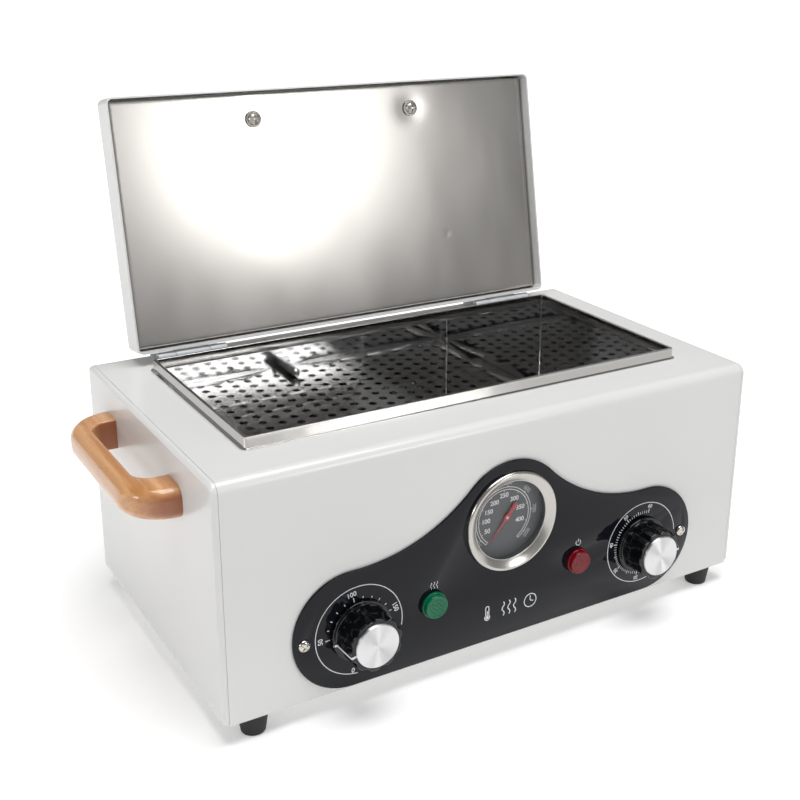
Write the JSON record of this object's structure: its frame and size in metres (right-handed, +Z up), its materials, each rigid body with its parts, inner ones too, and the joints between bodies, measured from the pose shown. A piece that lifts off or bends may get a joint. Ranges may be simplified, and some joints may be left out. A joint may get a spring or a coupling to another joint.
{
  "type": "dry heat sterilizer",
  "caption": "Bench-top dry heat sterilizer: white steel casing, hinged lid over a mirror-polished chamber, dial thermometer, thermostat and timer knobs, wooden handles.",
  "frame": {"origin": "on the bench, at the centre of the four rubber feet", "axes": "+X to the right seen from the control side, +Y to the rear (the hinges), +Z up; the controls face -Y"},
  "size_m": [0.404, 0.2731, 0.306],
  "materials": {
    "white_enamel": "gloss white baked enamel on sheet steel",
    "polished_stainless": "mirror-polished stainless sheet",
    "satin_stainless": "satin stainless sheet",
    "zinc_steel": "zinc-plated steel",
    "chrome_trim": "bright nickel-plated steel",
    "bezel_steel": "turned stainless",
    "black_rubber": "matt moulded rubber",
    "heater_sheath": "heat-tinted steel sheath",
    "ceramic": "off-white ceramic",
    "glass_wool": "glass-wool blanket",
    "copper_tube": "drawn copper tube",
    "fascia_black": "satin charcoal plate with white print",
    "dial_black": "matt dark grey dial",
    "clear_glass": "clear flat glass",
    "needle_red": "red lacquer",
    "green_lens": "green translucent lens",
    "red_lens": "red translucent lens",
    "black_plastic": "gloss black moulded plastic",
    "spun_aluminium": "spun aluminium",
    "beech": "varnished beech",
    "brass": "brass",
    "wire_insulation": "silicone sleeving"
  },
  "bodies": {
    "casing": {"wrap_shell": "white_enamel", "side_panel_left": "white_enamel", "side_panel_right": "white_enamel", "rear_panel": "white_enamel", "rear_panel_screws": "zinc_steel", "base_plate": "white_enamel", "rubber_feet": "black_rubber", "foot_screws": "zinc_steel", "foot_nuts": "zinc_steel", "chamber_liner": "polished_stainless", "chamber_rim": "polished_stainless", "chamber_floor": "polished_stainless", "heater_element": "heater_sheath", "heater_bushes": "ceramic", "heater_clips": "zinc_steel", "insulation_jacket": "glass_wool", "insulation_pad": "glass_wool", "thermostat_body": "zinc_steel", "thermostat_capillary": "copper_tube", "timer_body": "zinc_steel", "neck_nuts": "zinc_steel", "fascia_plate": "fascia_black", "fascia_screws": "chrome_trim", "gauge_case": "zinc_steel", "gauge_dial": "dial_black", "gauge_bezel": "bezel_steel", "gauge_glass": "clear_glass", "gauge_stem": "polished_stainless", "gauge_stem_nut": "polished_stainless", "lamp_green_lens": "green_lens", "lamp_red_lens": "red_lens", "lamp_bodies": "black_plastic", "lamp_nuts": "zinc_steel", "handle_left": "beech", "handle_right": "beech", "handle_screws": "zinc_steel", "hinge_body_leaves": "chrome_trim", "hinge_pins": "chrome_trim", "hinge_body_rivets": "chrome_trim", "cord_gland": "black_plastic", "gland_nut": "black_plastic", "terminal_block": "ceramic", "earth_stud": "brass", "wiring": "wire_insulation"},
    "lid": {"lid_shell": "white_enamel", "lid_liner": "satin_stainless", "lid_insulation": "glass_wool", "lid_handle": "beech", "lid_screws": "chrome_trim", "lid_washers": "chrome_trim", "hinge_lid_leaves": "chrome_trim", "hinge_lid_rivets": "chrome_trim"},
    "thermostat_control": {"thermostat_knob": "black_plastic", "thermostat_knob_cap": "spun_aluminium", "thermostat_shaft": "zinc_steel"},
    "timer_control": {"timer_knob": "black_plastic", "timer_knob_cap": "spun_aluminium", "timer_shaft": "zinc_steel"},
    "needle": {"gauge_needle": "needle_red"}
  },
  "joints": [
    {"name": "lid_hinge", "type": "hinge", "parent": "casing", "child": "lid", "pos_m": [0, 0.08185, 0.1517], "axis": [1, 0, 0], "range_deg": [0, 100.5]},
    {"name": "thermostat_turn", "type": "hinge", "parent": "casing", "child": "thermostat_control", "pos_m": [-0.0965, -0.1, 0.0473], "axis": [0, 1, 0], "range_deg": [-70, 204]},
    {"name": "timer_turn", "type": "hinge", "parent": "casing", "child": "timer_control", "pos_m": [0.0965, -0.1, 0.0473], "axis": [0, 1, 0], "range_deg": [0, 280]},
    {"name": "needle_turn", "type": "hinge", "parent": "casing", "child": "needle", "pos_m": [0, -0.1, 0.0869], "axis": [0, 1, 0], "range_deg": [0, 275], "stiffness_Nm_per_rad": 0.002}
  ]
}
